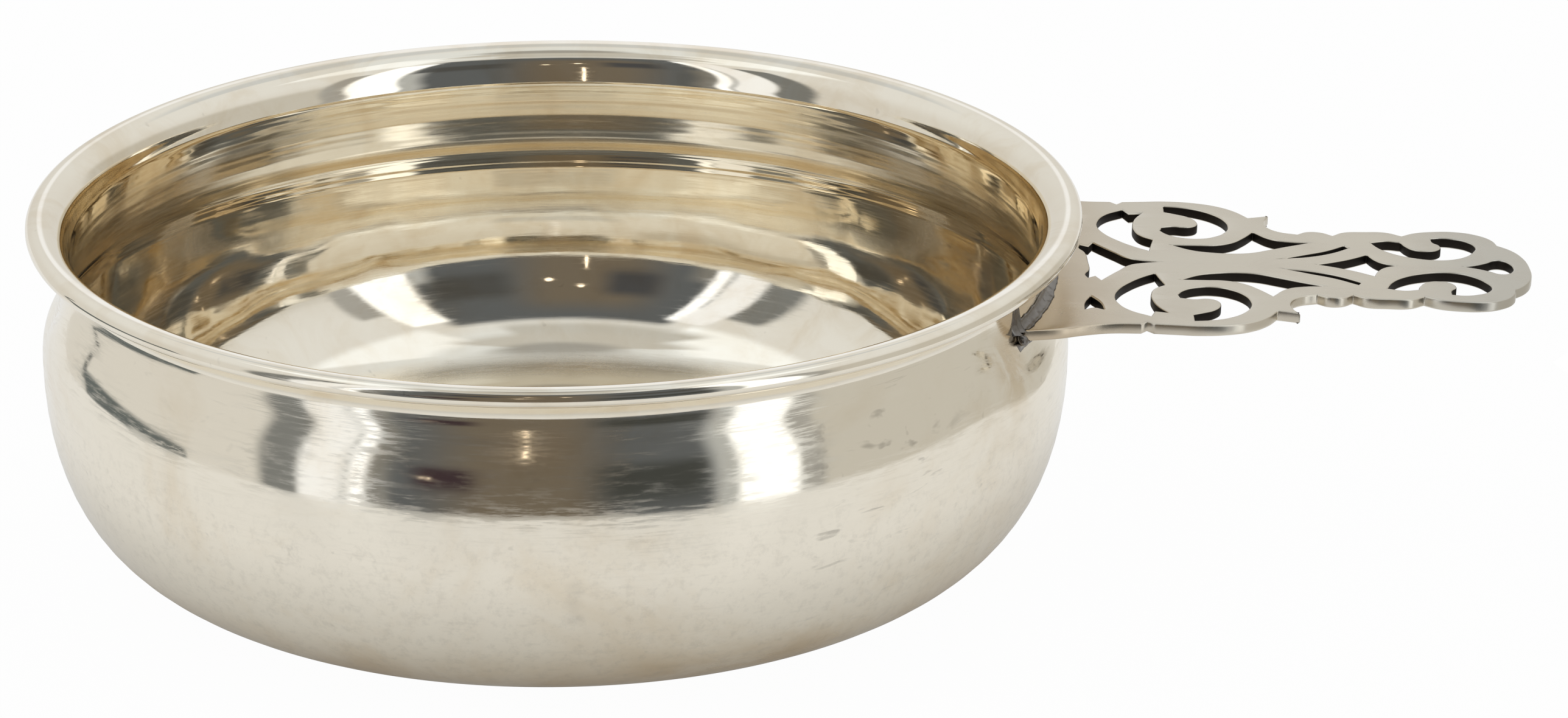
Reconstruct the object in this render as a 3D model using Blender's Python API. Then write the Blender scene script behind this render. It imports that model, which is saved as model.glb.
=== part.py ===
# Silver tasting cup: a spun bowl with a thick turned-out lip and one pierced scroll handle soldered to its side.
# Metres, +Z up. The origin is the middle of the flat base, and the handle points along +X.
import math

import bmesh
import bpy

# Bowl, spun from one sheet
SHEET = 0.00095            # thickness of the silver sheet
LIP_THICKNESS = 0.00195    # the lip's edge is upset to about twice the sheet
BASE_RADIUS = 0.0370       # flat ring that the cup stands on
BELLY_RADIUS = 0.05276     # widest part of the wall
BELLY_HEIGHT = 0.0216
NECK_RADIUS = 0.0505       # narrowest part, under the lip
NECK_DROP = 0.00386        # from the lip's top down to the narrowest part
LIP_RADIUS = 0.0540
LIP_HEIGHT = 0.0366        # top of the lip above the table

# Roundness of the section: shares of the way from one of these places to the next
BASE_ROUND = 0.34          # how far the base runs on flat before it turns up
BELLY_ROUND = 0.85         # how long the wall stays upright below the belly
SHOULDER_ROUND = 0.51      # and above it
NECK_ROUND = 0.83          # how long the neck stays upright below its narrowest part
THROAT_ROUND = 0.165       # and above it
LIP_ROUND = 0.58           # how far the lip runs on level, inward from its edge

# Handle, a flat casting with pierced scrolls
HANDLE_LENGTH = 0.04966    # from the wall to the tip
ROOT_STRIP = 0.00096       # plain strip of it along the wall, before the scrolls start
HANDLE_WIDTH = 0.0420      # across the two corners at the wall
HANDLE_THICKNESS = 0.00115
HANDLE_DROP = 0.0071       # from the lip's top down to the plate's top, at the wall
HANDLE_DROOP = math.radians(1.8)

# Solder along the joint
JOINT_GAP = 0.0003         # clearance between pieces that touch
SOLDER_LEG = 0.0011        # how far the solder runs up the wall and out along the plate
SOLDER_HOLLOW = 0.35       # how hollow its face is, from 0, flat, to 1, a square corner

# Fineness of the meshes
BOWL_STEPS = 64
SCROLL_STEPS = 4
SOLDER_STEPS = 24

# The scrolls are drawn on a grid of squares, so many from the plain strip to the tip and from the axis to a corner.
# Each point is along, across; a third word marks a corner, and the others are passed smoothly.
GRID_LONG = 48.7
GRID_WIDE = 21.0
OUTER_EDGE = [
    (-1.7, 20.2), (0.9, 19.2), (3.6, 18.5), (6.7, 18.4, "corner"), (7.3, 17.7, "corner"), (7.9, 18.4, "corner"),
    (10.0, 18.6), (12.6, 18.8), (15.6, 18.4), (18.0, 17.4), (19.7, 15.9), (20.9, 14.0, "corner"),
    (21.9, 14.3), (23.1, 14.7, "corner"), (22.5, 12.9), (22.7, 11.0), (23.7, 9.8), (25.5, 9.1, "corner"),
    (26.6, 9.9), (28.1, 9.8), (29.2, 8.9, "corner"), (30.4, 9.9), (32.6, 10.2), (35.0, 10.1),
    (36.5, 9.1, "corner"), (37.8, 10.0), (40.0, 10.6), (42.5, 10.6), (44.6, 9.7), (45.9, 8.2),
    (46.3, 6.6, "corner"), (47.5, 5.2), (48.3, 3.4), (48.7, 0.0),
]
EYE_HOLE = [
    (9.4, 3.4, "corner"), (8.2, 4.4), (6.6, 6.2), (5.3, 8.3), (4.7, 10.4), (4.9, 12.4), (5.9, 14.4),
    (7.8, 16.0, "corner"), (8.3, 14.6, "corner"), (9.7, 15.0, "corner"), (8.8, 13.2), (8.4, 11.4), (8.4, 9.6),
    (8.9, 8.0), (10.1, 6.8, "corner"), (9.7, 5.0),
]
VOLUTE_HOLE = [
    (12.2, 17.2, "corner"), (14.0, 16.9), (15.8, 16.1), (17.3, 14.7), (18.2, 13.0), (18.4, 11.2), (17.9, 9.4),
    (16.7, 8.0), (15.1, 7.3), (13.3, 7.5), (11.9, 8.4), (11.2, 9.6, "corner"), (11.4, 10.6, "corner"),
    (12.7, 10.9), (14.1, 10.7), (15.1, 11.3), (15.3, 12.5), (14.5, 14.0), (13.3, 14.8), (12.2, 15.4, "corner"),
]
LEAF_HOLE = [
    (12.0, 5.2, "corner"), (14.0, 3.7), (16.0, 3.1), (18.0, 2.9), (20.0, 3.2), (22.0, 4.2), (24.0, 5.3),
    (26.4, 6.5, "corner"), (24.4, 6.7), (22.6, 7.4), (20.9, 9.6, "corner"), (19.7, 7.7), (18.4, 6.2), (16.6, 5.3),
    (14.2, 5.2),
]
SLIT_HOLE = [
    (23.2, 1.6, "corner"), (25.6, 2.9), (28.0, 4.2), (30.1, 5.9, "corner"), (30.5, 5.2, "corner"), (28.3, 3.4),
    (25.8, 2.2),
]
LOOP_HOLE = [
    (33.0, 6.9, "corner"), (33.8, 5.0), (35.1, 3.5), (37.0, 2.4), (39.0, 1.9), (40.8, 2.1), (42.4, 3.1), (43.4, 4.6),
    (43.8, 6.1), (43.2, 7.5), (42.0, 8.3), (40.7, 8.6), (39.5, 8.4, "corner"), (39.6, 7.2), (40.2, 6.2), (39.9, 5.1),
    (38.7, 4.5), (37.3, 4.8), (36.5, 5.9), (36.1, 7.1, "corner"), (34.7, 7.4),
]
ROOT_HOLE = [
    (2.2, 10.4, "corner"), (3.0, 12.3), (3.2, 14.3, "corner"), (2.25, 13.8), (1.3, 14.3, "corner"), (1.5, 12.3),
]
# Holes on the axis are drawn for one side, from the tip end to the wall end
TULIP_HOLE = [
    (10.0, 0.0, "corner"), (8.3, 0.4), (7.0, 1.0), (5.7, 2.7), (4.5, 4.4), (3.7, 5.6, "corner"), (3.2, 4.4, "corner"),
    (2.4, 5.0, "corner"), (2.2, 4.0), (2.7, 2.6), (2.8, 0.0),
]
DIAMOND_HOLE = [
    (34.7, 0.0, "corner"), (33.5, 0.6), (32.7, 1.6), (32.1, 3.2, "corner"), (30.2, 1.8), (28.4, 0.8),
    (26.6, 0.0, "corner"),
]
TIP_HOLE = [
    (46.9, 0.0), (46.7, 1.1), (46.1, 1.9), (45.3, 2.0), (44.4, 1.3), (43.3, 0.6), (41.9, 0.0, "corner"),
]
PAIRED_HOLES = [EYE_HOLE, VOLUTE_HOLE, LEAF_HOLE, SLIT_HOLE, LOOP_HOLE, ROOT_HOLE]
AXIS_HOLES = [TULIP_HOLE, DIAMOND_HOLE, TIP_HOLE]

SILVER = (0.86, 0.83, 0.77)
CAST_SILVER = (0.80, 0.77, 0.71)
SOLDER_GREY = (0.70, 0.66, 0.58)


def clear_scene():
    for old in list(bpy.data.objects):
        bpy.data.objects.remove(old, do_unlink=True)


def metal(name, colour, roughness):
    material = bpy.data.materials.new(name)
    material.use_nodes = True
    shader = material.node_tree.nodes["Principled BSDF"]
    shader.inputs["Base Color"].default_value = (*colour, 1.0)
    shader.inputs["Metallic"].default_value = 1.0
    shader.inputs["Roughness"].default_value = roughness
    return material


def bezier(start, pull, aim, end, steps):
    """Points of a cubic curve after its start, as (radius, height) pairs."""
    points = []
    for step in range(1, steps + 1):
        t = step / steps
        weights = ((1 - t) ** 3, 3 * t * (1 - t) ** 2, 3 * t * t * (1 - t), t ** 3)
        corners = (start, pull, aim, end)
        points.append(tuple(sum(w * c[i] for w, c in zip(weights, corners)) for i in (0, 1)))
    return points


def arc(centre, radius, first, last, steps):
    """Points of an arc after its start, by angles in degrees from outward level, counted upward."""
    points = []
    for step in range(1, steps + 1):
        angle = math.radians(first + (last - first) * step / steps)
        points.append((centre[0] + radius * math.cos(angle), centre[1] + radius * math.sin(angle)))
    return points


def lip_edge():
    """The rounded edge of the lip, from its top to its underside."""
    half = LIP_THICKNESS / 2
    return arc((LIP_RADIUS - half, LIP_HEIGHT - half), half, 120, -90, 7)


def outer_line():
    """The outside of the sheet, from the middle of the base to the lip's edge, seen from below."""
    base = (BASE_RADIUS, 0.0)
    belly = (BELLY_RADIUS, BELLY_HEIGHT)
    neck = (NECK_RADIUS, LIP_HEIGHT - NECK_DROP)
    lip = lip_edge()[-1]
    flat = (BASE_RADIUS + BASE_ROUND * (BELLY_RADIUS - BASE_RADIUS), 0.0)
    swell = (BELLY_RADIUS, BELLY_HEIGHT * (1 - BELLY_ROUND))
    shoulder = (BELLY_RADIUS, belly[1] + SHOULDER_ROUND * (neck[1] - belly[1]))
    hollow = (NECK_RADIUS, neck[1] - NECK_ROUND * (neck[1] - belly[1]))
    throat = (NECK_RADIUS, neck[1] + THROAT_ROUND * (lip[1] - neck[1]))
    flare = (lip[0] - LIP_ROUND * (lip[0] - NECK_RADIUS), lip[1])
    line = [(0.0, 0.0), base]
    line += bezier(base, flat, swell, belly, 11)
    line += bezier(belly, shoulder, hollow, neck, 8)
    line += bezier(neck, throat, flare, lip, 6)
    return line


def thickness(height):
    """Thickness of the wall by the height of its outside: even up to the neck, then growing to the lip's."""
    neck = LIP_HEIGHT - NECK_DROP
    share = (height - neck) / (LIP_HEIGHT - LIP_THICKNESS - neck)
    share = min(max(share, 0.0), 1.0)
    return SHEET + (LIP_THICKNESS - SHEET) * share * share * (3 - 2 * share)


def inner_line(outer):
    """The inside of the sheet: every point of the outside moved through the wall's thickness."""
    line = []
    for index, (radius, height) in enumerate(outer):
        before = outer[max(index - 1, 0)]
        after = outer[min(index + 1, len(outer) - 1)]
        along = (after[0] - before[0], after[1] - before[1])
        depth = thickness(height) / math.hypot(*along)
        line.append((radius - along[1] * depth, height + along[0] * depth))
    line[0] = (0.0, SHEET)
    line[1] = (BASE_RADIUS, SHEET)
    line[-1] = lip_edge()[0]
    return line


def wall_radius(height):
    """Outside radius of the bowl at a height between the base and the lip."""
    line = outer_line()
    for low, high in zip(line, line[1:]):
        if low[1] < height <= high[1]:
            share = (height - low[1]) / (high[1] - low[1])
            return low[0] + share * (high[0] - low[0])
    return BELLY_RADIUS


def add_object(name, data, material):
    piece = bpy.data.objects.new(name, data)
    data.materials.append(material)
    bpy.context.scene.collection.objects.link(piece)
    return piece


def make_bowl():
    """The sheet's section, turned round the axis: up the inside, over the lip and down the outside."""
    outer = outer_line()
    section = inner_line(outer) + lip_edge()[1:-1] + outer[::-1]
    mesh = bpy.data.meshes.new("bowl")
    corners = [(radius, 0.0, height) for radius, height in section]
    mesh.from_pydata(corners, [(i, i + 1) for i in range(len(corners) - 1)], [])
    bowl = add_object("bowl", mesh, metal("bowl_silver", SILVER, 0.14))
    turn = bowl.modifiers.new("turn", "SCREW")
    turn.axis = "Z"
    turn.steps = BOWL_STEPS
    turn.render_steps = BOWL_STEPS
    turn.use_merge_vertices = True
    turn.merge_threshold = 0.00001
    turn.use_smooth_shade = True
    return bowl


def seat_radius():
    """Radius of the handle's hollow root edge, clear of the wall behind the plate."""
    bottom = LIP_HEIGHT - HANDLE_DROP - HANDLE_THICKNESS
    return max(wall_radius(bottom), wall_radius(bottom + HANDLE_THICKNESS)) + JOINT_GAP


def plate_top(along):
    """Height of the plate's upper face at a distance from the bowl's axis."""
    return LIP_HEIGHT - HANDLE_DROP - (along - seat_radius()) * math.tan(HANDLE_DROOP)


def on_grid(point):
    long = ROOT_STRIP + point[0] * (HANDLE_LENGTH - ROOT_STRIP) / GRID_LONG
    wide = point[1] * HANDLE_WIDTH / 2 / GRID_WIDE
    return (long, wide) + tuple(point[2:])


def mirrored(points):
    return [(long, -wide) + tuple(rest) for long, wide, *rest in reversed(points)]


def root_edge():
    """The edge that follows the wall, from the corner at -Y to the corner at +Y."""
    seat = seat_radius()
    reach = math.asin(HANDLE_WIDTH / 2 / seat)
    points = []
    for step in range(-4, 5):
        angle = reach * step / 4
        ends = ("corner",) if abs(step) == 4 else ()
        points.append((seat * math.cos(angle) - seat, seat * math.sin(angle)) + ends)
    return points


def add_outline(curve, points):
    spline = curve.splines.new("BEZIER")
    spline.bezier_points.add(len(points) - 1)
    spline.use_cyclic_u = True
    for knot, (long, wide, *corner) in zip(spline.bezier_points, points):
        kind = "VECTOR" if corner else "AUTO"
        knot.co = (long, wide, 0.0)
        knot.handle_left_type = kind
        knot.handle_right_type = kind


def handle_outlines():
    """Every closed line of the plate: the outside first, then the holes."""
    edge = [on_grid(point) for point in OUTER_EDGE]
    outlines = [root_edge() + edge + mirrored(edge[:-1])]
    for hole in PAIRED_HOLES:
        half = [on_grid(point) for point in hole]
        outlines += [half, mirrored(half)]
    for hole in AXIS_HOLES:
        half = [on_grid(point) for point in hole]
        outlines.append(half + mirrored(half[1:-1]))
    return outlines


def make_handle():
    curve = bpy.data.curves.new("handle", "CURVE")
    curve.dimensions = "2D"
    curve.fill_mode = "BOTH"
    curve.resolution_u = SCROLL_STEPS
    curve.render_resolution_u = SCROLL_STEPS
    curve.extrude = HANDLE_THICKNESS / 2
    for outline in handle_outlines():
        add_outline(curve, outline)
    handle = add_object("handle", curve, metal("handle_silver", CAST_SILVER, 0.22))
    middle = plate_top(seat_radius()) - HANDLE_THICKNESS / 2
    handle.location = (seat_radius(), 0.0, middle)
    handle.rotation_euler = (0.0, HANDLE_DROOP, 0.0)
    weld = handle.modifiers.new("weld", "WELD")
    weld.merge_threshold = 0.000005
    return handle


def solder_section(angle, side):
    """Three corners and a hollow face, in the corner of wall and plate; side is 1 above the plate, -1 below it."""
    seat = seat_radius()
    face = plate_top(seat * math.cos(angle))
    if side < 0:
        face -= HANDLE_THICKNESS
    near = face + side * JOINT_GAP
    far = near + side * SOLDER_LEG
    foot = (max(wall_radius(near), wall_radius(far)) + JOINT_GAP, near)
    tall = (foot[0], far)
    wide = (foot[0] + SOLDER_LEG, near - SOLDER_LEG * math.tan(HANDLE_DROOP) * (side < 0))
    middle = ((tall[0] + wide[0]) / 2, (tall[1] + wide[1]) / 2)
    hollow = tuple(m + SOLDER_HOLLOW * (f - m) for m, f in zip(middle, foot))
    loop = (foot, wide, hollow, tall)
    return [(r * math.cos(angle), r * math.sin(angle), height) for r, height in loop]


def make_solder(name, side):
    """A thin fillet along the whole root edge, with closed ends."""
    reach = math.asin(HANDLE_WIDTH / 2 / seat_radius())
    shape = bmesh.new()
    rings = []
    for step in range(SOLDER_STEPS + 1):
        angle = reach * (2 * step / SOLDER_STEPS - 1)
        rings.append([shape.verts.new(corner) for corner in solder_section(angle, side)])
    for ring, following in zip(rings, rings[1:]):
        for index in range(4):
            after = (index + 1) % 4
            shape.faces.new((ring[index], ring[after], following[after], following[index]))
    shape.faces.new(rings[0])
    shape.faces.new(rings[-1])
    bmesh.ops.recalc_face_normals(shape, faces=shape.faces)
    mesh = bpy.data.meshes.new(name)
    shape.to_mesh(mesh)
    shape.free()
    return add_object(name, mesh, metal(name + "_silver", SOLDER_GREY, 0.34))


def main():
    clear_scene()
    make_bowl()
    make_handle()
    make_solder("upper_solder_seam", 1)
    make_solder("lower_solder_seam", -1)


main()
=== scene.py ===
# Silver tasting cup: spun bowl, pierced scroll handle and the solder that holds it. Metres, +Z up.
import math

import bmesh
import bpy
from mathutils import Matrix, Vector, kdtree, noise


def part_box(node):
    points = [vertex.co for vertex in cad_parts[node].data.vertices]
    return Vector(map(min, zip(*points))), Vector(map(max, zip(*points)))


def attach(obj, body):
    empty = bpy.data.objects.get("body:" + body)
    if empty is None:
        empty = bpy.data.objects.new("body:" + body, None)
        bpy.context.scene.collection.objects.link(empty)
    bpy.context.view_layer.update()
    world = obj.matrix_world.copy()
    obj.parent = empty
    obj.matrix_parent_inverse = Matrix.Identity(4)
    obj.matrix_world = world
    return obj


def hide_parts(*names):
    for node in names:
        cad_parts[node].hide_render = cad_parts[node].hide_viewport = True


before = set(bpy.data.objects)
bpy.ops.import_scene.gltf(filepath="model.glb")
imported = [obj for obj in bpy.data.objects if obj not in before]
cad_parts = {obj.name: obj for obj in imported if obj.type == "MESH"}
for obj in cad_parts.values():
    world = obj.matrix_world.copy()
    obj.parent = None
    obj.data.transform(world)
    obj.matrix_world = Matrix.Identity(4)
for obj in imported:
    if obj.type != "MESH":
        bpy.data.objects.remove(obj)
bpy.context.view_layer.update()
scene = bpy.context.scene
print("frame loaded:", sorted(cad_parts))


# small helpers for node trees
def addNode(tree, kind, **settings):
    node = tree.nodes.new(kind)
    for name, value in settings.items():
        setattr(node, name, value)
    return node


def plug(tree, socket, value):
    if isinstance(value, bpy.types.NodeSocket):
        tree.links.new(value, socket)
    else:
        socket.default_value = value


def calc(tree, operation, first, second=0.0, third=0.0):
    node = addNode(tree, "ShaderNodeMath", operation=operation)
    for socket, value in zip(node.inputs, (first, second, third)):
        plug(tree, socket, value)
    return node.outputs[0]


def times(tree, first, second):
    return calc(tree, "MULTIPLY", first, second)


def addShare(tree, total, part, share):
    return calc(tree, "MULTIPLY_ADD", part, share, total)


def axesOf(tree, vector):
    node = addNode(tree, "ShaderNodeSeparateXYZ")
    plug(tree, node.inputs[0], vector)
    return node.outputs


def ease(tree, value, low, high, atLow=0.0, atHigh=1.0):
    node = addNode(tree, "ShaderNodeMapRange", interpolation_type="SMOOTHSTEP")
    limits = (("From Min", low), ("From Max", high), ("To Min", atLow), ("To Max", atHigh))
    for name, number in limits:
        node.inputs[name].default_value = number
    plug(tree, node.inputs["Value"], value)
    return node.outputs["Result"]


def mixColour(tree, share, first, second, blend="MIX"):
    node = addNode(tree, "ShaderNodeMix", data_type="RGBA", blend_type=blend)
    plug(tree, node.inputs["Factor"], share)
    for socket, value in ((node.inputs[6], first), (node.inputs[7], second)):
        plug(tree, socket, value if isinstance(value, bpy.types.NodeSocket) else (*value, 1.0))
    return node.outputs[2]


def cloudy(tree, vector, scale, detail=3.0, roughness=0.55, warp=0.0):
    node = addNode(tree, "ShaderNodeTexNoise")
    plug(tree, node.inputs["Vector"], vector)
    numbers = (("Scale", scale), ("Detail", detail), ("Roughness", roughness), ("Distortion", warp))
    for name, number in numbers:
        node.inputs[name].default_value = number
    return node.outputs["Fac"]


def stretched(tree, vector, scale):
    node = addNode(tree, "ShaderNodeMapping", vector_type="POINT")
    plug(tree, node.inputs["Vector"], vector)
    node.inputs["Scale"].default_value = scale
    return node.outputs["Vector"]


def nearTo(tree, place, spot, far, near):
    gap = addNode(tree, "ShaderNodeVectorMath", operation="DISTANCE")
    plug(tree, gap.inputs[0], place)
    gap.inputs[1].default_value = spot
    return ease(tree, gap.outputs["Value"], far, near)


def emboss(tree, shader, height, depth):
    bump = addNode(tree, "ShaderNodeBump")
    bump.inputs["Strength"].default_value = 1.0
    bump.inputs["Distance"].default_value = depth
    plug(tree, bump.inputs["Height"], height)
    plug(tree, shader.inputs["Normal"], bump.outputs["Normal"])


def newMetal(name):
    material = bpy.data.materials.new(name)
    material.use_nodes = True
    tree = material.node_tree
    shader = tree.nodes["Principled BSDF"]
    shader.inputs["Metallic"].default_value = 1.0
    return material, tree, shader, addNode(tree, "ShaderNodeTexCoord").outputs["Object"]


# silver of the bowl: mirror inside, softly worn outside, hairlines round the axis
bowlFinish = {
    "colour": (0.92, 0.862, 0.745),
    "tarnish": (0.66, 0.50, 0.29),
    "dull": (0.40, 0.37, 0.32),
    "polish": (0.025, 0.06),           # roughness inside and outside
    "worn": (0.10, 0.26),              # the same where fine scratches lie
    "wornHaze": 0.10,                  # roughness that tarnish adds
    "hairHeight": 0.0000012,
    "lines": {                         # stretch round the axis and along the sheet, detail, roughness, warp
        "hairs": ((7.0, 7.0, 3200.0), 4.0, 0.65, 0.0),
        "scratches": ((12.0, 12.0, 3600.0), 5.0, 0.7, 0.0),
        "smears": ((5.0, 5.0, 160.0), 4.0, 0.6, 0.5),
        "scuffs": ((11.0, 11.0, 900.0), 3.0, 0.6, 0.3),
    },
    "clouds": {                        # scale, detail, roughness, warp
        "large": (60.0, 5.0, 0.62, 0.5),
        "small": (120.0, 4.0, 0.6, 0.8),
        "specks": (520.0, 2.0, 0.5, 0.0),
        "grain": (800.0, 4.0, 0.75, 0.0),
    },
    "shows": {                         # from which value of its pattern a mark shows, and is full
        "worn": (0.44, 0.74),
        "foot": (0.25, 0.62),
        "amber": (0.44, 0.66),
        "stain": (0.40, 0.58),
        "scuffs": (0.60, 0.74),
        "specks": (0.73, 0.79),
        "grain": (0.46, 0.70),
        "scratches": (0.42, 0.64),
        "smears": (0.30, 0.62, 0.25, 1.0),
    },
    "shares": {                        # how strong each mark is
        "worn": 0.18, "wornOutside": 0.12, "foot": 0.55, "amber": 0.20, "stain": 0.55,
        "scuffs": 0.12, "scuffsThere": 0.50, "specks": 0.22, "grain": 0.15, "smudge": 0.35,
    },
    "footTop": (0.0095, 0.001),        # heights where the brown of the foot ends and is full
    "grainTop": (0.024, 0.018),
    "amberFloor": (0.0015, 0.0070, 0.25, 1.0),     # the floor is rubbed clean
    "stainPlace": (0.0452, -0.0247, 0.0277),
    "stainReach": (0.0060, 0.0012),
    "scuffPlace": (0.0315, -0.0420, 0.0215),
    "scuffReach": (0.014, 0.004),
    "smudge": [(0.0013, -0.0508, 0.0125), (0.0012, -0.0512, 0.0142), (0.0014, -0.0515, 0.0158)],
    "smudgeReach": (0.0016, 0.0004),
    "haze": [                          # rubbed bands inside: their heights, and the roughness they add
        (0.0012, 0.0017, 0.0028, 0.0036, 0.20),
        (0.0235, 0.0255, 0.0300, 0.0320, 0.10),
    ],
}


def aroundAxis(tree, place, along):
    flat = addNode(tree, "ShaderNodeVectorMath", operation="MULTIPLY")
    plug(tree, flat.inputs[0], place)
    flat.inputs[1].default_value = (1.0, 1.0, 0.0)
    toward = addNode(tree, "ShaderNodeVectorMath", operation="NORMALIZE")
    plug(tree, toward.inputs[0], flat.outputs[0])
    side, depth, _ = axesOf(tree, toward.outputs[0])
    turned = addNode(tree, "ShaderNodeCombineXYZ")     # direction round the axis, length along the sheet
    for socket, value in zip(turned.inputs, (side, depth, along)):
        plug(tree, socket, value)
    return turned.outputs[0]


def makeBowlSilver(s):
    material, tree, shader, place = newMetal("bowlSilver")
    along = addNode(tree, "ShaderNodeAttribute", attribute_name="along").outputs["Fac"]
    outside = addNode(tree, "ShaderNodeAttribute", attribute_name="outside").outputs["Fac"]
    inside = calc(tree, "SUBTRACT", 1.0, outside)
    height = axesOf(tree, place)[2]
    turned = aroundAxis(tree, place, along)
    lines = {name: cloudy(tree, stretched(tree, turned, stretch), 1.0, *rest)
             for name, (stretch, *rest) in s["lines"].items()}
    clouds = {name: cloudy(tree, place, *numbers) for name, numbers in s["clouds"].items()}
    share = s["shares"]

    def shown(name, pattern):
        return ease(tree, pattern, *s["shows"][name])

    # tarnish
    foot = times(tree, ease(tree, height, *s["footTop"]), outside)
    foot = times(tree, foot, shown("foot", clouds["large"]))
    stain = nearTo(tree, place, s["stainPlace"], *s["stainReach"])
    stain = times(tree, stain, shown("stain", clouds["small"]))
    amber = times(tree, shown("amber", clouds["small"]), inside)
    amber = times(tree, amber, ease(tree, height, *s["amberFloor"]))
    worn = addShare(tree, share["worn"], outside, share["wornOutside"])
    worn = times(tree, shown("worn", clouds["large"]), worn)
    for name, mark in (("foot", foot), ("amber", amber), ("stain", stain)):
        worn = addShare(tree, worn, mark, share[name])
    skin = mixColour(tree, worn, s["colour"], s["tarnish"])

    # grime
    where = nearTo(tree, place, s["scuffPlace"], *s["scuffReach"])
    where = addShare(tree, share["scuffs"], where, share["scuffsThere"])
    grime = times(tree, times(tree, shown("scuffs", lines["scuffs"]), where), outside)
    grime = addShare(tree, grime, shown("specks", clouds["specks"]), share["specks"])
    grain = times(tree, shown("grain", clouds["grain"]), outside)
    grain = times(tree, grain, ease(tree, height, *s["grainTop"]))
    grime = addShare(tree, grime, grain, share["grain"])
    for spot in s["smudge"]:
        smudge = times(tree, nearTo(tree, place, spot, *s["smudgeReach"]), clouds["small"])
        grime = addShare(tree, grime, smudge, share["smudge"])
    plug(tree, shader.inputs["Base Color"], mixColour(tree, grime, skin, s["dull"]))

    # polish
    rub = times(tree, shown("scratches", lines["scratches"]), shown("smears", lines["smears"]))
    bright = addShare(tree, s["polish"][0], outside, s["polish"][1] - s["polish"][0])
    matt = addShare(tree, s["worn"][0], outside, s["worn"][1] - s["worn"][0])
    satin = addShare(tree, bright, rub, calc(tree, "SUBTRACT", matt, bright))
    satin = addShare(tree, satin, worn, s["wornHaze"])
    for low, lowFull, highFull, high, amount in s["haze"]:
        band = times(tree, ease(tree, height, low, lowFull), ease(tree, height, high, highFull))
        satin = addShare(tree, satin, times(tree, band, inside), amount)
    plug(tree, shader.inputs["Roughness"], satin)
    emboss(tree, shader, lines["hairs"], s["hairHeight"])
    return material


# cast silver of the handle: polished on top, black where the polishing cloth never reaches
handleFinish = {
    "colour": (0.70, 0.645, 0.545),
    "root": (0.60, 0.50, 0.37),
    "tip": (0.60, 0.57, 0.50),
    "dull": (0.50, 0.42, 0.32),
    "oxide": (0.035, 0.030, 0.026),
    "roughness": 0.22,
    "oxideRough": 0.3,                 # roughness that oxide and clouds add
    "cloudRough": 0.10,
    "clouds": (160.0, 4.0, 0.6, 0.3),  # scale, detail, roughness, warp
    "dullShows": (0.45, 0.75),
    "dullShare": 0.18,
    "rootReach": (0.062, 0.050),       # where along the handle each end's colour starts and is full
    "tipReach": (0.084, 0.097),
    "grain": (300.0, 1800.0, 900.0),
    "grainDetail": 3.0,
    "grainHeight": 0.000004,
    "reach": 0.0013,                   # how wide a gap still holds oxide
    "crevice": (0.62, 0.35),
    "creviceShare": 0.9,
    "upright": (0.62, 0.30),           # how far a pierced edge may lean and stay black
    "corners": [(0.0468, -0.0209, 0.0284), (0.0468, 0.0209, 0.0284)],      # cleaned by the flux
    "cornerReach": (0.0024, 0.0014),
}


def makeHandleSilver(s):
    material, tree, shader, place = newMetal("handleSilver")
    clouds = cloudy(tree, place, *s["clouds"])
    grain = cloudy(tree, stretched(tree, place, s["grain"]), 1.0, s["grainDetail"])
    gaps = addNode(tree, "ShaderNodeAmbientOcclusion", samples=8, only_local=True)
    gaps.inputs["Distance"].default_value = s["reach"]
    pierced = addNode(tree, "ShaderNodeAttribute", attribute_name="pierced").outputs["Fac"]
    facing = axesOf(tree, addNode(tree, "ShaderNodeNewGeometry").outputs["Normal"])
    upright = ease(tree, calc(tree, "ABSOLUTE", facing[2]), *s["upright"])
    dark = times(tree, pierced, upright)
    crevice = ease(tree, gaps.outputs["AO"], *s["crevice"])
    dark = calc(tree, "MAXIMUM", dark, times(tree, crevice, s["creviceShare"]))
    for corner in s["corners"]:
        clean = nearTo(tree, place, corner, *s["cornerReach"])
        dark = times(tree, dark, calc(tree, "SUBTRACT", 1.0, clean))
    dull = times(tree, ease(tree, clouds, *s["dullShows"]), s["dullShare"])
    outward = axesOf(tree, place)[0]
    skin = mixColour(tree, ease(tree, outward, *s["rootReach"]), s["colour"], s["root"])
    skin = mixColour(tree, ease(tree, outward, *s["tipReach"]), skin, s["tip"])
    skin = mixColour(tree, dull, skin, s["dull"])
    plug(tree, shader.inputs["Base Color"], mixColour(tree, dark, skin, s["oxide"]))
    rough = addShare(tree, s["roughness"], dark, s["oxideRough"])
    plug(tree, shader.inputs["Roughness"], addShare(tree, rough, clouds, s["cloudRough"]))
    emboss(tree, shader, grain, s["grainHeight"])
    return material


# solder: greyer, rougher and browned by heat, with its grey and brown also darkened as painted shade
# between the lip and the handle
solderAndShadeFinish = {
    "colour": (0.20, 0.185, 0.17),
    "burnt": (0.11, 0.09, 0.075),
    "burntShows": (0.50, 0.72),
    "burntShare": 0.8,
    "roughness": 0.25,
    "burntRough": 0.25,                # roughness that the heat adds
    "lumps": (700.0, 4.0, 0.6, 0.4),   # scale, detail, roughness, warp
    "lumpHeight": 0.000015,
}


def makeSolderAndShade(s):
    material, tree, shader, place = newMetal("solderAndShadeSilver")
    lumps = cloudy(tree, place, *s["lumps"])
    burnt = times(tree, ease(tree, lumps, *s["burntShows"]), s["burntShare"])
    # painted shade: part of the solder's dark colour stands in for the shade under the lip
    plug(tree, shader.inputs["Base Color"], mixColour(tree, burnt, s["colour"], s["burnt"]))
    plug(tree, shader.inputs["Roughness"], addShare(tree, s["roughness"], burnt, s["burntRough"]))
    emboss(tree, shader, lumps, s["lumpHeight"])
    return material


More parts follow.
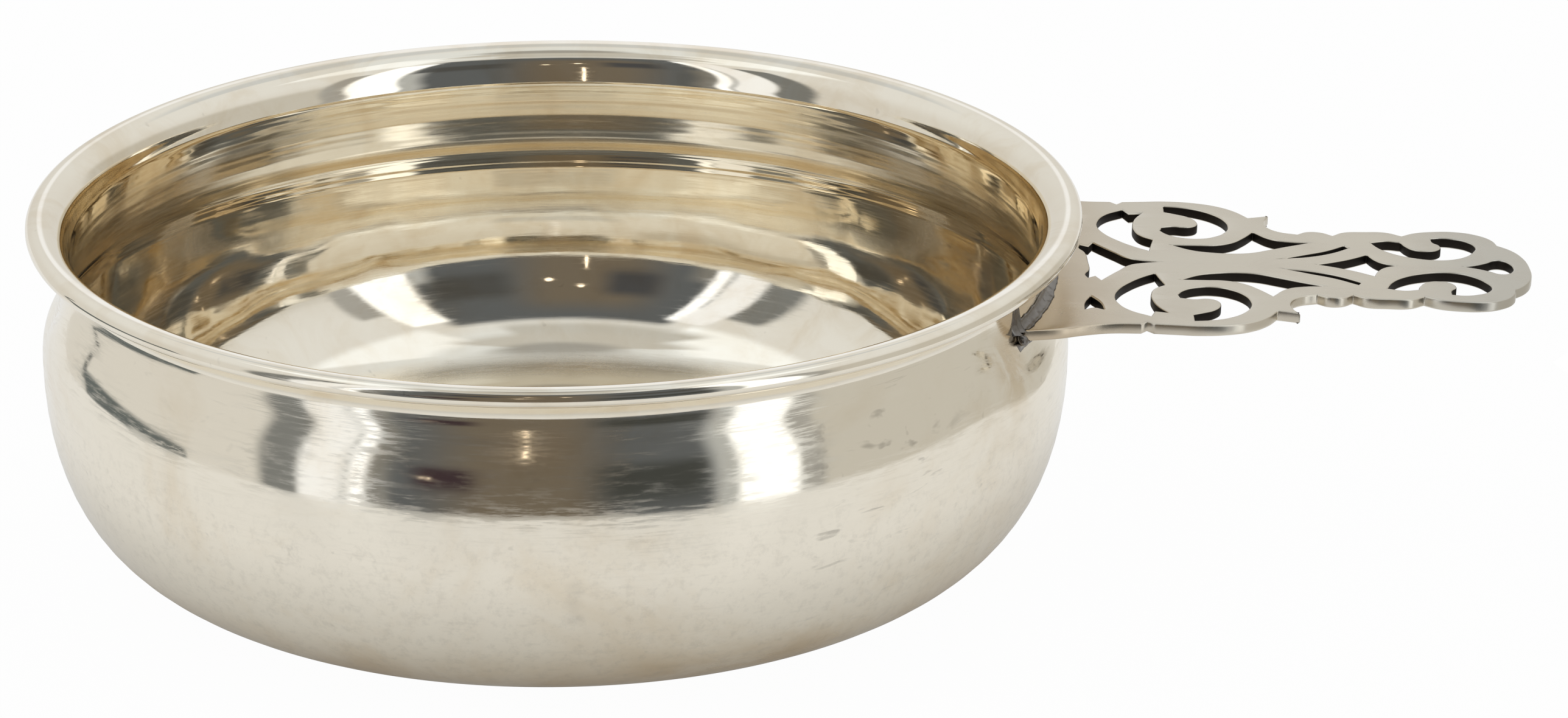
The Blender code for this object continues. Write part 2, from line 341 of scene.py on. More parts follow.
bowlSilver = makeBowlSilver(bowlFinish)
handleSilver = makeHandleSilver(handleFinish)
solderAndShadeSilver = makeSolderAndShade(solderAndShadeFinish)
print("materials made")


# the bowl's section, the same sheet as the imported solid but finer
bowlShape = {
    "sheet": 0.00095,
    "baseRadius": 0.0370,
    "bellyRadius": 0.05276,
    "bellyHeight": 0.0216,
    "neckRadius": 0.0505,
    "neckDrop": 0.00386,
    "lipThickness": 0.00195,           # the lip's edge is upset to about twice the sheet
    "lipRadius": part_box("bowl")[1].x,
    "lipHeight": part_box("bowl")[1].z,
    "rounds": {"base": 0.34, "belly": 0.85, "shoulder": 0.51, "neck": 0.83, "throat": 0.165, "lip": 0.58},
    "frontNeck": 0.0510,               # raised by hand: the neck is tighter at the front
    "frontRounds": {"shoulder": 0.75, "neck": 0.22},
    "frontTurn": 100.0,                # degrees from the handle to the middle of that side
    "frontFade": (0.22, 0.50),         # cosine of the turn from that middle where it starts and is full
    "rings": [(0.00085, 0.000006), (0.0017, 0.000010), (0.0031, 0.000015)],    # turning marks: pitch, depth
    "ringZone": (0.010, 0.016, 0.0315, 0.0335),        # heights inside where they start, are full, and end
    "dents": 0.000011,
    "dentGain": 4.0,
    "dentScale": 105.0,
    "dentZone": (0.0, 0.004, 0.032, 0.0355),
    "swirls": 5.0,                     # how much wavier the side walls are inside
    "swirlZone": (0.007, 0.012, 0.029, 0.0325),
    "swirlSides": (0.20, 0.60),        # share of the way to the side where the waves start and are full
    "points": {"floor": 8, "belly": 44, "shoulder": 110, "throat": 28, "lip": 16},
    "stepsRound": 288,
    "merge": 0.000002,
}


def bezier(start, pull, aim, end, steps):
    points = []
    for step in range(1, steps + 1):
        t = step / steps
        weights = ((1 - t) ** 3, 3 * t * (1 - t) ** 2, 3 * t * t * (1 - t), t ** 3)
        knots = list(zip(weights, (start, pull, aim, end)))
        points.append(tuple(sum(weight * knot[axis] for weight, knot in knots) for axis in (0, 1)))
    return points


def arc(centre, radius, first, last, steps):
    angles = [math.radians(first + (last - first) * step / steps) for step in range(1, steps + 1)]
    return [(centre[0] + radius * math.cos(a), centre[1] + radius * math.sin(a)) for a in angles]


def lipEdge(s):
    half, steps = s["lipThickness"] / 2, s["points"]["lip"]
    middle = (s["lipRadius"] - half, s["lipHeight"] - half)
    return arc(middle, half, 90 + 180 / steps, -90, steps + 1)


def wallDepth(s, height):
    neck = s["lipHeight"] - s["neckDrop"]
    share = min(max((height - neck) / (s["lipHeight"] - s["lipThickness"] - neck), 0.0), 1.0)
    return s["sheet"] + (s["lipThickness"] - s["sheet"]) * share * share * (3 - 2 * share)


def outerLine(s):
    base, belly = (s["baseRadius"], 0.0), (s["bellyRadius"], s["bellyHeight"])
    neck = (s["neckRadius"], s["lipHeight"] - s["neckDrop"])
    lip = lipEdge(s)[-1]
    share, points, rise = s["rounds"], s["points"], neck[1] - belly[1]
    flat = (base[0] + share["base"] * (belly[0] - base[0]), 0.0)
    below = (belly[0], belly[1] * (1 - share["belly"]))
    above = (belly[0], belly[1] + share["shoulder"] * rise)
    under = (neck[0], neck[1] - share["neck"] * rise)
    throat = (neck[0], neck[1] + share["throat"] * (lip[1] - neck[1]))
    flare = (lip[0] - share["lip"] * (lip[0] - neck[0]), lip[1])
    line = [(base[0] * step / points["floor"], 0.0) for step in range(points["floor"] + 1)]
    line += bezier(base, flat, below, belly, points["belly"])
    line += bezier(belly, above, under, neck, points["shoulder"])
    line += bezier(neck, throat, flare, lip, points["throat"])
    return line


def swell(value, zone):
    low, lowFull, highFull, high = zone
    return max(min((value - low) / (lowFull - low), (high - value) / (high - highFull), 1.0), 0.0)


def innerLine(outer, s):
    line, length = [], 0.0
    for index, (radius, height) in enumerate(outer):
        before, after = outer[max(index - 1, 0)], outer[min(index + 1, len(outer) - 1)]
        length += math.dist((radius, height), before)
        along = Vector((after[0] - before[0], after[1] - before[1])).normalized()
        ring = sum(deep * math.sin(math.tau * length / pitch) for pitch, deep in s["rings"])
        sheet = wallDepth(s, height) + ring * swell(height, s["ringZone"])
        line.append((max(radius - along.y * sheet, 0.0), height + along.x * sheet))
    line[-1] = lipEdge(s)[0]
    return line


def lathTree(s):
    tree = bpy.data.node_groups.new("turnSection", "GeometryNodeTree")
    face = tree.interface
    face.new_socket("Section", in_out="INPUT", socket_type="NodeSocketGeometry")
    sockets = {}
    sizes = {"Steps Round": "Int", "Section Points": "Int", "Dents": "Float", "Silver": "Material"}
    for name, kind in sizes.items():
        sockets[name] = face.new_socket(name, in_out="INPUT", socket_type="NodeSocket" + kind).identifier
    face.new_socket("Bowl", in_out="OUTPUT", socket_type="NodeSocketGeometry")
    given = addNode(tree, "NodeGroupInput").outputs
    grid = addNode(tree, "GeometryNodeMeshGrid")
    plug(tree, grid.inputs["Vertices X"], calcInt(tree, "ADD", given["Steps Round"], 1))
    plug(tree, grid.inputs["Vertices Y"], given["Section Points"])
    index = addNode(tree, "GeometryNodeInputIndex").outputs[0]
    row = calcInt(tree, "MODULO", index, given["Section Points"])
    column = calcInt(tree, "DIVIDE_FLOOR", index, given["Section Points"])
    turn = times(tree, calc(tree, "DIVIDE", column, given["Steps Round"]), math.tau)

    def fromSection(field, kind="FLOAT"):
        return sampled(tree, given["Section"], kind, field, row)

    # the two sections, one passing into the other round the axis
    blend = addNode(tree, "ShaderNodeMix", data_type="VECTOR")
    toFront = calc(tree, "COSINE", calc(tree, "ADD", turn, math.radians(s["frontTurn"])))
    plug(tree, blend.inputs[0], ease(tree, toFront, *s["frontFade"]))
    position = addNode(tree, "GeometryNodeInputPosition").outputs[0]
    plug(tree, blend.inputs[4], fromSection(position, "FLOAT_VECTOR"))
    plug(tree, blend.inputs[5], fromSection(namedField(tree, "front", "FLOAT_VECTOR"), "FLOAT_VECTOR"))
    radius, _, height = axesOf(tree, blend.outputs[1])

    # dents, stronger on the side walls inside
    even = swung(tree, radius, turn, height)
    waves = calc(tree, "SUBTRACT", cloudy(tree, even, s["dentScale"], 2.0), 0.5)
    waves = times(tree, times(tree, waves, given["Dents"]), s["dentGain"])
    sideways = ease(tree, calc(tree, "ABSOLUTE", calc(tree, "COSINE", turn)), *s["swirlSides"])
    worked = fromSection(namedField(tree, "worked"))
    worked = addShare(tree, worked, fromSection(namedField(tree, "swirled")), sideways)
    radius = addShare(tree, radius, waves, worked)
    place = addNode(tree, "GeometryNodeSetPosition")
    plug(tree, place.inputs["Geometry"], grid.outputs["Mesh"])
    plug(tree, place.inputs["Position"], swung(tree, radius, turn, height))
    shape = place.outputs[0]
    for name in ("along", "outside"):
        store = addNode(tree, "GeometryNodeStoreNamedAttribute", data_type="FLOAT", domain="POINT")
        store.inputs["Name"].default_value = name
        plug(tree, store.inputs["Geometry"], shape)
        plug(tree, store.inputs["Value"], fromSection(namedField(tree, name)))
        shape = store.outputs[0]
    merge = addNode(tree, "GeometryNodeMergeByDistance")
    plug(tree, merge.inputs["Geometry"], shape)
    merge.inputs["Distance"].default_value = s["merge"]
    smooth = addNode(tree, "GeometryNodeSetShadeSmooth")
    plug(tree, smooth.inputs[0], merge.outputs[0])
    real = addNode(tree, "GeometryNodeRealizeInstances")
    plug(tree, real.inputs[0], smooth.outputs[0])
    paint = addNode(tree, "GeometryNodeSetMaterial")
    plug(tree, paint.inputs["Geometry"], real.outputs[0])
    plug(tree, paint.inputs["Material"], given["Silver"])
    result = addNode(tree, "NodeGroupOutput")
    plug(tree, result.inputs[0], paint.outputs[0])
    return tree, sockets


def namedField(tree, name, kind="FLOAT"):
    node = addNode(tree, "GeometryNodeInputNamedAttribute", data_type=kind)
    node.inputs["Name"].default_value = name
    return node.outputs[0]


def swung(tree, radius, turn, height):
    spot = addNode(tree, "ShaderNodeCombineXYZ")
    plug(tree, spot.inputs[0], calc(tree, "MULTIPLY", radius, calc(tree, "COSINE", turn)))
    plug(tree, spot.inputs[1], calc(tree, "MULTIPLY", radius, calc(tree, "SINE", turn)))
    plug(tree, spot.inputs[2], height)
    return spot.outputs[0]


def calcInt(tree, operation, first, second):
    node = addNode(tree, "FunctionNodeIntegerMath", operation=operation)
    plug(tree, node.inputs[0], first)
    plug(tree, node.inputs[1], second)
    return node.outputs[0]


def sampled(tree, source, kind, field, index):
    node = addNode(tree, "GeometryNodeSampleIndex", data_type=kind, domain="POINT")
    plug(tree, node.inputs["Geometry"], source)
    plug(tree, node.inputs["Value"], field)
    plug(tree, node.inputs["Index"], index)
    return node.outputs[0]


def plainMesh(piece, name):
    graph = bpy.context.evaluated_depsgraph_get()
    made = piece.evaluated_get(graph)
    mesh = bpy.data.meshes.new_from_object(made, preserve_all_data_layers=True, depsgraph=graph)
    mesh.name = name
    old = piece.data
    piece.modifiers.clear()
    if piece.type == "MESH":
        piece.data = mesh
        return piece
    fresh = bpy.data.objects.new(name, mesh)
    fresh.matrix_world = piece.matrix_world
    scene.collection.objects.link(fresh)
    bpy.data.objects.remove(piece, do_unlink=True)
    bpy.data.curves.remove(old)
    fresh.name = name
    return fresh


def sectionOf(s):
    outer, edge = outerLine(s), lipEdge(s)
    inner = innerLine(outer, s)
    return inner + edge[1:-1] + outer[::-2], len(inner), len(edge)     # half the points do outside


def makeBowl(s):
    section, innerCount, edgeCount = sectionOf(s)
    handRaised = dict(s, neckRadius=s["frontNeck"], rounds=dict(s["rounds"], **s["frontRounds"]))
    frontSection = sectionOf(handRaised)[0]
    mesh = bpy.data.meshes.new("bowlSection")
    mesh.from_pydata([(r, 0.0, z) for r, z in section], [(i, i + 1) for i in range(len(section) - 1)], [])
    names = ("along", "outside", "worked", "swirled", "front")
    for name in names:
        mesh.attributes.new(name, "FLOAT_VECTOR" if name == "front" else "FLOAT", "POINT")
    along, outside, worked, swirled, front = [mesh.attributes[name] for name in names]
    length = 0.0
    for index, point in enumerate(section):
        length += (Vector(point) - Vector(section[max(index - 1, 0)])).length
        along.data[index].value = length
        outside.data[index].value = min(max((index - innerCount + 1) / edgeCount, 0.0), 1.0)
        front.data[index].vector = (frontSection[index][0], 0.0, frontSection[index][1])
        worked.data[index].value = swell(point[1], s["dentZone"])
        if index < innerCount:
            swirled.data[index].value = s["swirls"] * swell(point[1], s["swirlZone"])
    bowl = bpy.data.objects.new("cupBowl", mesh)
    scene.collection.objects.link(bowl)
    tree, sockets = lathTree(s)
    turn = bowl.modifiers.new("turn", "NODES")
    turn.node_group = tree
    turn[sockets["Steps Round"]] = s["stepsRound"]
    turn[sockets["Section Points"]] = len(section)
    turn[sockets["Dents"]] = s["dents"]
    turn[sockets["Silver"]] = bowlSilver
    bowl = plainMesh(bowl, "cupBowl")
    shell = bmesh.new()
    shell.from_mesh(bowl.data)
    bmesh.ops.recalc_face_normals(shell, faces=shell.faces)
    shell.to_mesh(bowl.data)
    shell.free()
    return bowl


bowl = makeBowl(bowlShape)
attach(bowl, "root")
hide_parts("bowl")
print("bowl turned:", len(bowl.data.polygons), "faces")


# the handle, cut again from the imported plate's own edges with rounded corners
handleShape = {
    "rounding": 0.00022,
    "roundSteps": 3,
    "curveSteps": 4,
    "cornerAngle": 33.0,       # a sharper turn than this stays a corner
    "merge": 0.000004,
    "plateMerge": 0.000002,
    "faceUp": 0.9,             # a face that looks up this much is on the plate's top
}


def plateFrame(mesh, faceUp):
    tops = [p for p in mesh.polygons if p.normal.z > faceUp]
    normal = sum((p.normal * p.area for p in tops), Vector()).normalized()
    axis = Vector((normal.z, 0.0, -normal.x))
    heights = [normal.dot(v.co) for v in mesh.vertices]
    origin = normal * (min(heights) + max(heights)) / 2
    turn = Matrix((axis, normal.cross(axis), normal)).transposed().to_4x4()
    return Matrix.Translation(origin) @ turn, max(heights) - min(heights)


def plateLoops(node, s):
    shape = bmesh.new()
    shape.from_mesh(node.data)
    bmesh.ops.remove_doubles(shape, verts=shape.verts, dist=s["plateMerge"])
    shape.normal_update()
    shape.verts.index_update()
    place, thickness = plateFrame(node.data, s["faceUp"])
    up = place.col[2].to_3d()
    rim = {}
    for edge in shape.edges:
        sides = [face.normal.dot(up) > s["faceUp"] for face in edge.link_faces]
        if sorted(sides) == [False, True]:
            for vert in edge.verts:
                rim.setdefault(vert, []).append(edge.other_vert(vert))
    loops, done = [], set()
    for first in sorted(rim, key=lambda vert: vert.index):     # in a fixed order, so each run is the same
        if first in done:
            continue
        loop, last, current = [first], first, rim[first][0]
        while current != first:
            loop.append(current)
            last, current = current, next(v for v in rim[current] if v != last)
        done.update(loop)
        loops.append([(place.inverted() @ vert.co).to_2d() for vert in loop])
    shape.free()
    return loops, place, thickness


def isCorner(before, here, after, limit):
    turn = (here - before).angle(after - here, 0.0)
    return math.degrees(turn) > limit


def makeHandle(s):
    loops, place, thickness = plateLoops(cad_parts["handle"], s)
    curve = bpy.data.curves.new("handleOutline", "CURVE")
    curve.dimensions = "2D"
    curve.fill_mode = "BOTH"
    curve.resolution_u = s["curveSteps"]
    curve.render_resolution_u = s["curveSteps"]
    curve.bevel_depth = s["rounding"]
    curve.bevel_resolution = s["roundSteps"]
    curve.offset = -s["rounding"]
    curve.extrude = thickness / 2 - s["rounding"]
    for loop in loops:
        spline = curve.splines.new("BEZIER")
        spline.bezier_points.add(len(loop) - 1)
        spline.use_cyclic_u = True
        for index, (knot, point) in enumerate(zip(spline.bezier_points, loop)):
            sharp = isCorner(loop[index - 1], point, loop[(index + 1) % len(loop)], s["cornerAngle"])
            knot.co = (*point, 0.0)
            knot.handle_left_type = knot.handle_right_type = "VECTOR" if sharp else "AUTO"
    handle = bpy.data.objects.new("scrollHandle", curve)
    scene.collection.objects.link(handle)
    handle = plainMesh(handle, "scrollHandle")
    plate = bmesh.new()
    plate.from_mesh(handle.data)
    bmesh.ops.remove_doubles(plate, verts=plate.verts, dist=s["merge"])
    bmesh.ops.recalc_face_normals(plate, faces=plate.faces)
    plate.to_mesh(handle.data)
    plate.free()
    longest = max(range(len(loops)), key=lambda i: max(p.x for p in loops[i]))
    near = kdtree.KDTree(sum(len(loop) for loop in loops))
    owner = []
    for number, loop in enumerate(loops):
        for point in loop:
            near.insert((*point, 0.0), len(owner))
            owner.append(number)
    near.balance()
    pierced = handle.data.attributes.new("pierced", "FLOAT", "POINT")
    for vert in handle.data.vertices:
        found = near.find((vert.co.x, vert.co.y, 0.0))[1]
        pierced.data[vert.index].value = 0.0 if owner[found] == longest else 1.0
    handle.data.transform(place)
    handle.data.shade_smooth()
    even = handle.modifiers.new("evenNormals", "WEIGHTED_NORMAL")
    even.weight = 100
    handle = plainMesh(handle, "scrollHandle")
    handle.data.materials.clear()
    handle.data.materials.append(handleSilver)
    return handle


handle = makeHandle(handleShape)
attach(handle, "root")
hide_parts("handle")
print("handle cut:", len(handle.data.polygons), "faces")


# the solder: a hollow fillet on each face of the plate, lumpy, with runs up the wall at the near corner
solderShape = {
    "clear": 0.00002,
    "skin": 0.00004,                   # least thickness on the wall
    "upperReach": (-26.6, 24.3),       # degrees round from the handle's axis
    "lowerReach": (-25.4, 24.4),
    "out": 0.0009,
    "up": 0.0010,
    "lumps": 0.16,
    "lumpPitch": 0.7,
    "endShare": 0.35,                  # how much is left at the ends, and over how many degrees it thins
    "endTaper": (0.8, 1.2),
    "runs": (-23.3, 0.0032, 0.0008),   # where they start, how high they climb and how thick they are
    "runPitch": 1.25,                  # degrees from one run to the next
    "runRise": 0.8,
    "runEnd": (0.25, 0.7),
    "runHeights": (0.72, 0.28),        # between the runs, and what they add
    "runDepths": (0.55, 0.75),
    "cornerLump": (0.04645, -0.02145, 0.02885),
    "cornerSize": 0.00060,
    "cornerRough": (0.35, 1300.0),     # how uneven it is, and how finely
    "wallFrom": 0.02,                  # only the wall above this height is needed
    "steps": 150,
    "hollowSteps": 7,
}


def wallAt(line, height):
    for (r0, z0), (r1, z1) in zip(line, line[1:]):
        if z0 <= height <= z1 and z1 > z0:
            return r0 + (r1 - r0) * (height - z0) / (z1 - z0)
    return line[-1][0]


def filletSize(s, angle, ends, seed):
    lump = noise.fractal(Vector((angle * s["lumpPitch"], seed, 0.3)), 1.0, 2.0, 3)
    size = 1.0 + s["lumps"] * lump
    fromEnds = ((angle - ends[0]) / s["endTaper"][0], (ends[1] - angle) / s["endTaper"][1])
    size *= min(1.0, s["endShare"] + min(fromEnds))
    out, up = s["out"] * size, s["up"] * size
    start, climb, thick = s["runs"]
    if seed == 0 and angle < start:
        strand = 0.5 + 0.5 * math.cos((angle - start) * math.tau / s["runPitch"])
        share = min(1.0, (start - angle) / s["runRise"])
        fade = min(1.0, s["runEnd"][0] + (angle - ends[0]) / s["runEnd"][1])
        up = max(up, climb * share * fade * (s["runHeights"][0] + s["runHeights"][1] * strand))
        out = thick * (s["runDepths"][0] + s["runDepths"][1] * strand) * fade
    return out, up


def makeFillet(s, name, node, ends, side, seed):
    wall = [point for point in outerLine(bowlShape) if point[1] > s["wallFrom"]]
    place, thickness = plateFrame(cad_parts["handle"].data, handleShape["faceUp"])
    up = place.col[2].to_3d()
    level = up.dot(place.translation) + side * thickness / 2
    rows, rounds = [], s["hollowSteps"]
    for step in range(s["steps"] + 1):
        angle = ends[0] + (ends[1] - ends[0]) * step / s["steps"]
        turn = math.radians(angle)
        seat = wallAt(wall, level / up.z)
        face = (level - up.x * seat * math.cos(turn)) / up.z + side * s["clear"]
        out, rise = filletSize(s, angle, ends, seed)
        row = [(wallAt(wall, face) + s["clear"], face)]
        for hollow in range(rounds + 1):
            t = math.pi / 2 * hollow / rounds
            height = face + side * rise * (1 - math.cos(t))
            row.append((wallAt(wall, height) + s["clear"] + out * (1 - math.sin(t)) + s["skin"], height))
        rows.append([(r * math.cos(turn), r * math.sin(turn), z) for r, z in row])
    wide = len(rows[0])
    faces = [tuple(range(wide)), tuple(range(len(rows) * wide - wide, len(rows) * wide))]
    for step in range(len(rows) - 1):
        for k in range(wide):
            a, b = step * wide + k, step * wide + (k + 1) % wide
            faces.append((a, b, b + wide, a + wide))
    mesh = bpy.data.meshes.new(name)
    mesh.from_pydata([point for row in rows for point in row], [], faces)
    shell = bmesh.new()
    shell.from_mesh(mesh)
    bmesh.ops.recalc_face_normals(shell, faces=shell.faces)
    if shell.calc_volume(signed=True) < 0:
        bmesh.ops.reverse_faces(shell, faces=shell.faces)
    if seed == 0:
        centre, (uneven, fine) = Vector(s["cornerLump"]), s["cornerRough"]
        spot = Matrix.Translation(centre)
        lump = bmesh.ops.create_icosphere(shell, subdivisions=4, radius=s["cornerSize"], matrix=spot)
        for vert in lump["verts"]:
            away = vert.co - centre
            vert.co = centre + away * (1.0 + uneven * noise.noise(away * fine))
    shell.to_mesh(mesh)
    shell.free()
    mesh.shade_smooth()
    mesh.materials.append(solderAndShadeSilver)
    fillet = bpy.data.objects.new(name, mesh)
    scene.collection.objects.link(fillet)
    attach(fillet, "root")
    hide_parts(node)


makeFillet(solderShape, "upperSolder", "upper_solder_seam", solderShape["upperReach"], 1, 0)
makeFillet(solderShape, "lowerSolder", "lower_solder_seam", solderShape["lowerReach"], -1, 4)
print("solder run in")


# plain pale table with a round front, wider than the picture; in the metal it shows a painted shadow that
# darkens it round the cup
floorShape = {
    "radius": 0.120,
    "frontAngle": 112.0,       # how far round the front goes, to each side
    "frontSteps": 32,
    "back": [(0.36, 0.40), (0.90, 1.60), (-0.90, 1.60), (-0.36, 0.40)],
    "drop": 0.00005,           # just clear of the base
    "colour": (0.80, 0.795, 0.775),
    "whiteToCamera": 0.975,
    "whiteToMetal": (0.15, 0.56),      # beside the cup, kept low as a painted shadow round it, and further out
    "paintedShadeReach": (0.040, 0.078),
    "roughness": 0.24,
}


def makeFloor(s):
    mesh = bpy.data.meshes.new("floor")
    steps = s["frontSteps"]
    angles = [math.radians(s["frontAngle"] * step / steps) for step in range(-steps, steps + 1)]
    edge = [(s["radius"] * math.sin(a), -s["radius"] * math.cos(a)) for a in angles] + s["back"]
    mesh.from_pydata([(x, y, -s["drop"]) for x, y in edge], [], [range(len(edge))])
    floor = bpy.data.objects.new("floor", mesh)
    scene.collection.objects.link(floor)
    material = bpy.data.materials.new("floorPaper")
    material.use_nodes = True
    tree = material.node_tree
    tree.nodes.clear()
    paper = addNode(tree, "ShaderNodeBsdfPrincipled")
    paper.inputs["Base Color"].default_value = (*s["colour"], 1.0)
    paper.inputs["Roughness"].default_value = s["roughness"]
    white = addNode(tree, "ShaderNodeEmission")
    rays = addNode(tree, "ShaderNodeLightPath")
    away = addNode(tree, "ShaderNodeVectorMath", operation="LENGTH")
    plug(tree, away.inputs[0], addNode(tree, "ShaderNodeTexCoord").outputs["Object"])
    # painted shadow: less white near the cup darkens the table round it as the metal sees it
    pale = ease(tree, away.outputs["Value"], *s["paintedShadeReach"], *s["whiteToMetal"])
    seen = times(tree, rays.outputs["Is Camera Ray"], s["whiteToCamera"])
    seen = addShare(tree, seen, rays.outputs["Is Glossy Ray"], pale)
    seen = addShare(tree, seen, rays.outputs["Is Transmission Ray"], pale)
    blend = addNode(tree, "ShaderNodeMixShader")
    plug(tree, blend.inputs[0], seen)
    plug(tree, blend.inputs[1], paper.outputs[0])
    plug(tree, blend.inputs[2], white.outputs[0])
    output = addNode(tree, "ShaderNodeOutputMaterial")
    plug(tree, output.inputs["Surface"], blend.outputs[0])
    mesh.materials.append(material)


makeFloor(floorShape)

# the studio round the cup, in degrees round from the camera's side (+ towards the handle) and degrees up
# a card is (left, right, low, high, softness, colour, lean); the lean tips its sides inward as they rise
studio = {
    "wallsLow": (0.72, 0.71, 0.685),
    "wallsHigh": (0.80, 0.81, 0.81),
    "overhead": (0.80, 0.84, 0.87),
    "background": (1.0, 1.0, 1.0),
    "wallFade": (6.0, 40.0),           # heights between which the walls, then the overhead, take over
    "overheadFade": (56.0, 72.0),
    "cards": {
        "rightWall": (55, 140, -95, 18, 5, (0.585, 0.57, 0.53), (0, 0)),
        "leftTop": (-112, -47, 55, 74, 3, (1.08, 1.14, 1.20), (0, 0)),
        "rightTop": (46, 100, 55, 74, 3, (1.05, 1.10, 1.15), (0, 0)),
        "frontCeiling": (-62, 22, 61, 100, 4, (0.56, 0.56, 0.54), (0, 0)),
        "overCeiling": (-85, 58, 71, 100, 4, (0.58, 0.575, 0.55), (0, 0)),
        "zenith": (-190, 190, 82, 100, 3, (0.38, 0.38, 0.37), (0, 0)),
        "backGlowRight": (148, 190, 42, 60, 4, (0.64, 0.67, 0.70), (0, 0)),
        "backGlowLeft": (-190, -148, 42, 60, 4, (0.64, 0.67, 0.70), (0, 0)),
        "roomBehind": (-39, 36, -95, 57.5, 3, (0.115, 0.125, 0.135), (0, 0)),
        "backLowRight": (177.5, 190, 1, 40, 1.5, (0.94, 0.96, 1.0), (0, 0)),
        "backLowLeft": (-190, -177.5, 1, 40, 1.5, (0.94, 0.96, 1.0), (0, 0)),
        "warmRoom": (-24, 8, -95, 46, 9, (0.165, 0.14, 0.108), (0, 0)),
        "darkRoom": (9, 33, -15, 3, 5, (0.058, 0.062, 0.06), (0, 0)),
        "darkRoomHigh": (12, 32, 20, 36, 4, (0.08, 0.082, 0.082), (0, 0)),
        "darkSeat": (-31, -18, -11, 0, 3, (0.05, 0.034, 0.04), (0, 0)),
        "darkSeatHigh": (-27, -13, 20, 36, 4, (0.07, 0.072, 0.078), (0, 0)),
        "leftStand": (-66.5, -55.7, -95, 44, 2, (0.21, 0.22, 0.222), (0.10, 0.13)),
        "leftBox": (-56.2, -41, -95, 53, 1.2, (1.0, 1.03, 1.08), (0.13, 0.10)),
        "leftSeam": (-46.4, -44.4, -95, 40, 0.7, (0.62, 0.64, 0.66), (0.13, 0.13)),
        "leftFringe": (-41.6, -36, -95, 22, 3, (0.22, 0.22, 0.21), (0.10, 0.10)),
        "leftTube": (-44.2, -41.2, -95, 52, 1.0, (1.35, 1.40, 1.48), (0.10, 0.10)),
        "rightStand": (51.5, 58.5, -95, 38, 1.5, (0.40, 0.40, 0.39), (-0.10, -0.08)),
        "rightFringe": (33, 40, -95, 22, 2.5, (0.48, 0.50, 0.51), (-0.08, -0.08)),
        "rightBox": (38.6, 52, -95, 52, 1.2, (1.40, 1.45, 1.50), (-0.08, -0.10)),
        "gapSide": (-120.8, -119.2, -14, -0.8, 0.4, (0.16, 0.17, 0.17), (0.53, 0.53)),
    },
    # dark wedge: its two ends, then low and high at each end
    "gap": (-126.5, -88.5, -20, -24, -11.0, -15.2, (0.13, 0.15, 0.155)),
    "gapSoft": (0.6, 0.8),
    # a lamp is (round, up, half its width, half its height)
    "lamps": [
        (1.8, 26.5, 1.0, 1.0),
        (-6.3, 30.5, 1.0, 1.0),
        (-29.1, -6.2, 0.4, 0.5),
        (-27.6, -6.6, 0.35, 0.5),
        (-7.3, 12.5, 0.40, 7.0),
    ],
    "lampColour": (2.6, 2.2, 1.7),
    "lampEdge": (1.5, 0.3),
}


def between(tree, value, low, high, soft):
    rise = calc(tree, "SUBTRACT", value, low)
    fall = calc(tree, "SUBTRACT", high, value)
    return ease(tree, calc(tree, "MINIMUM", rise, fall), -soft, soft)


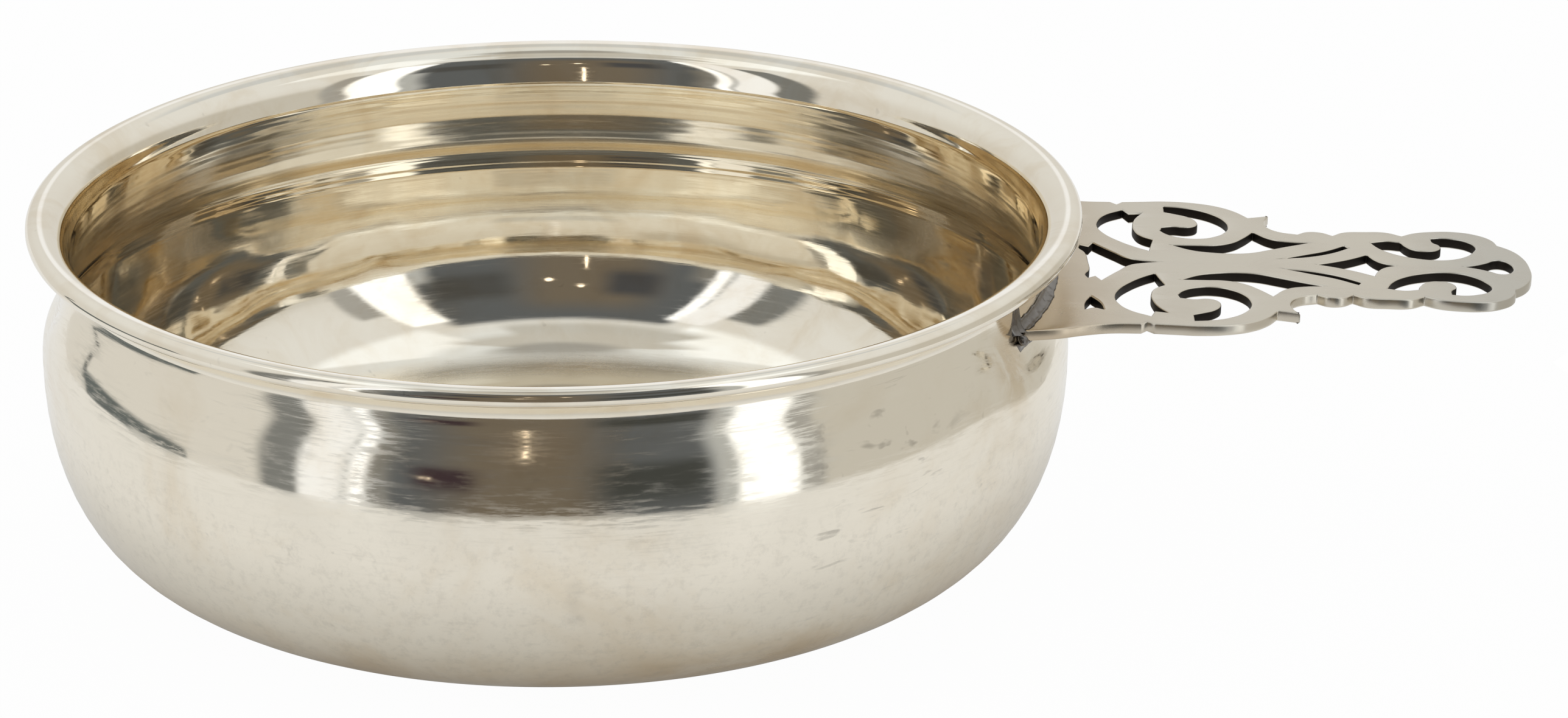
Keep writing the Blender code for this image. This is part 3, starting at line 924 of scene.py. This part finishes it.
def makeStudio(s):
    world = bpy.data.worlds.new("studio")
    world.use_nodes = True
    scene.world = world
    tree = world.node_tree
    tree.nodes.clear()
    x, y, z = axesOf(tree, addNode(tree, "ShaderNodeTexCoord").outputs["Generated"])
    around = calc(tree, "DEGREES", calc(tree, "ARCTAN2", x, times(tree, y, -1.0)))
    lift = calc(tree, "DEGREES", calc(tree, "ARCSINE", z))
    room = mixColour(tree, ease(tree, lift, *s["wallFade"]), s["wallsLow"], s["wallsHigh"])
    room = mixColour(tree, ease(tree, lift, *s["overheadFade"]), room, s["overhead"])
    for left, right, low, high, soft, colour, lean in s["cards"].values():
        leftSide = calc(tree, "MULTIPLY_ADD", lift, lean[0], left)
        rightSide = calc(tree, "MULTIPLY_ADD", lift, lean[1], right)
        wide = between(tree, around, leftSide, rightSide, soft)
        room = mixColour(tree, times(tree, wide, between(tree, lift, low, high, soft)), room, colour)
    left, right, lowLeft, lowRight, highLeft, highRight, colour = s["gap"]
    along = calc(tree, "DIVIDE", calc(tree, "SUBTRACT", around, left), right - left)
    low = calc(tree, "MULTIPLY_ADD", along, lowRight - lowLeft, lowLeft)
    high = calc(tree, "MULTIPLY_ADD", along, highRight - highLeft, highLeft)
    wide = between(tree, around, left, right, s["gapSoft"][0])
    room = mixColour(tree, times(tree, wide, between(tree, lift, low, high, s["gapSoft"][1])), room, colour)
    for middle, up, half, tall in s["lamps"]:
        side = calc(tree, "DIVIDE", calc(tree, "SUBTRACT", around, middle), half)
        rise = calc(tree, "DIVIDE", calc(tree, "SUBTRACT", lift, up), tall)
        spread = calc(tree, "ADD", times(tree, side, side), times(tree, rise, rise))
        room = mixColour(tree, ease(tree, spread, *s["lampEdge"]), room, s["lampColour"])
    rays = addNode(tree, "ShaderNodeLightPath")
    seen = mixColour(tree, rays.outputs["Is Camera Ray"], room, s["background"])
    light = addNode(tree, "ShaderNodeBackground")
    plug(tree, light.inputs["Color"], seen)
    output = addNode(tree, "ShaderNodeOutputWorld")
    plug(tree, output.inputs["Surface"], light.outputs[0])


makeStudio(studio)

# camera, worked out from the lip's outline
cameraShape = {
    "place": (0.0, -0.60307, 0.25027),
    "tilt": 69.028,
    "turn": -2.229,
    "lens": 143.27,
    "sensor": 36.0,
}


def makeCamera(s):
    data = bpy.data.cameras.new("camera")
    data.lens = s["lens"]
    data.sensor_width = s["sensor"]
    camera = bpy.data.objects.new("camera", data)
    camera.location = s["place"]
    camera.rotation_euler = (math.radians(s["tilt"]), 0.0, math.radians(s["turn"]))
    scene.collection.objects.link(camera)
    scene.camera = camera


makeCamera(cameraShape)
scene.view_settings.view_transform = "Standard"
scene.cycles.glossy_bounces = 10       # the inside mirrors itself many times over
print("studio, floor and camera set")
